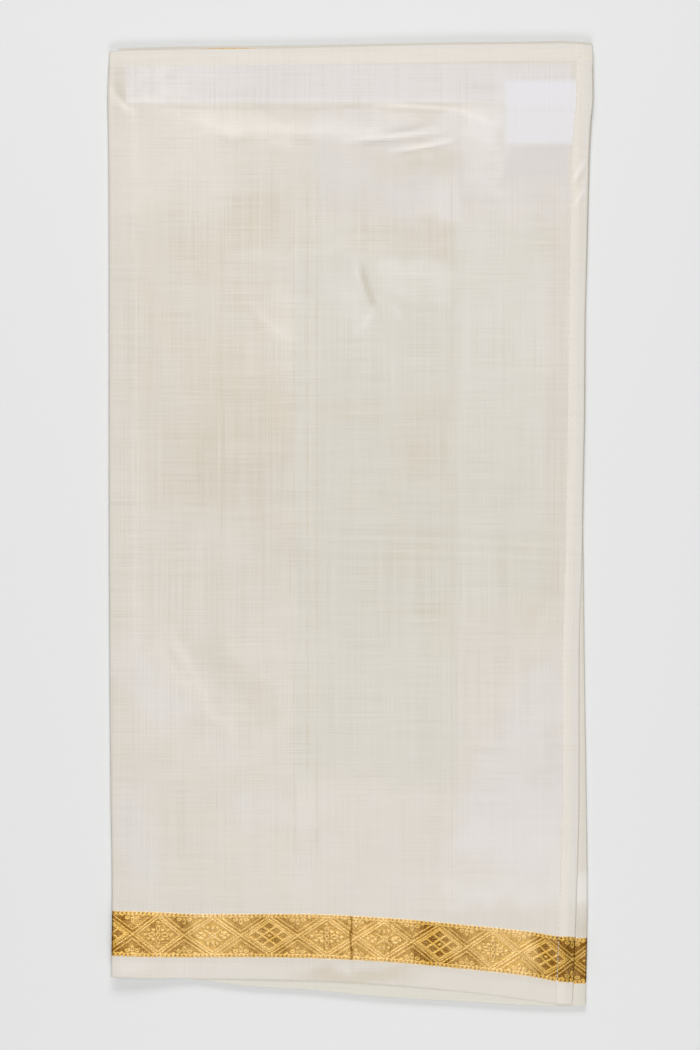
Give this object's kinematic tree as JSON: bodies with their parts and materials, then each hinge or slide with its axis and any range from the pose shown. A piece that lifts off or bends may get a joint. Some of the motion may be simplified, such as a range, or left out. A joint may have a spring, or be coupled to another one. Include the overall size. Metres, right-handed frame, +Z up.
{
  "type": "folded dhoti cloth",
  "caption": "Sheer cream silk dhoti with a gold zari border, folded in layers to a flat rectangle and laid on a surface.",
  "frame": {"origin": "centre of the folded cloth's outline, on the surface it lies on", "axes": "+X towards the stitched end of the cloth, +Y towards the waist hem, +Z up from the surface"},
  "size_m": [0.3204, 0.6349, 0.0081],
  "materials": {
    "silk_field": "sheer plain-woven silk with a soft sheen and fine thread lines",
    "silk_hem": "the same silk, turned twice and stitched",
    "silk_selvedge": "plain silk strip under the gold band",
    "silk_under": "the hidden layers of the same silk",
    "zari": "gold metal-thread brocade in lozenges with satin gloss",
    "tape": "white woven fastening tape",
    "label": "bare white satin label"
  },
  "bodies": {
    "root": {"front_field": "silk_field", "waist_hem": "silk_hem", "end_hem": "silk_hem", "zari_border": "zari", "selvedge": "silk_selvedge", "waist_tape": "tape", "label": "label", "inner_folds": "silk_under"}
  },
  "joints": []
}
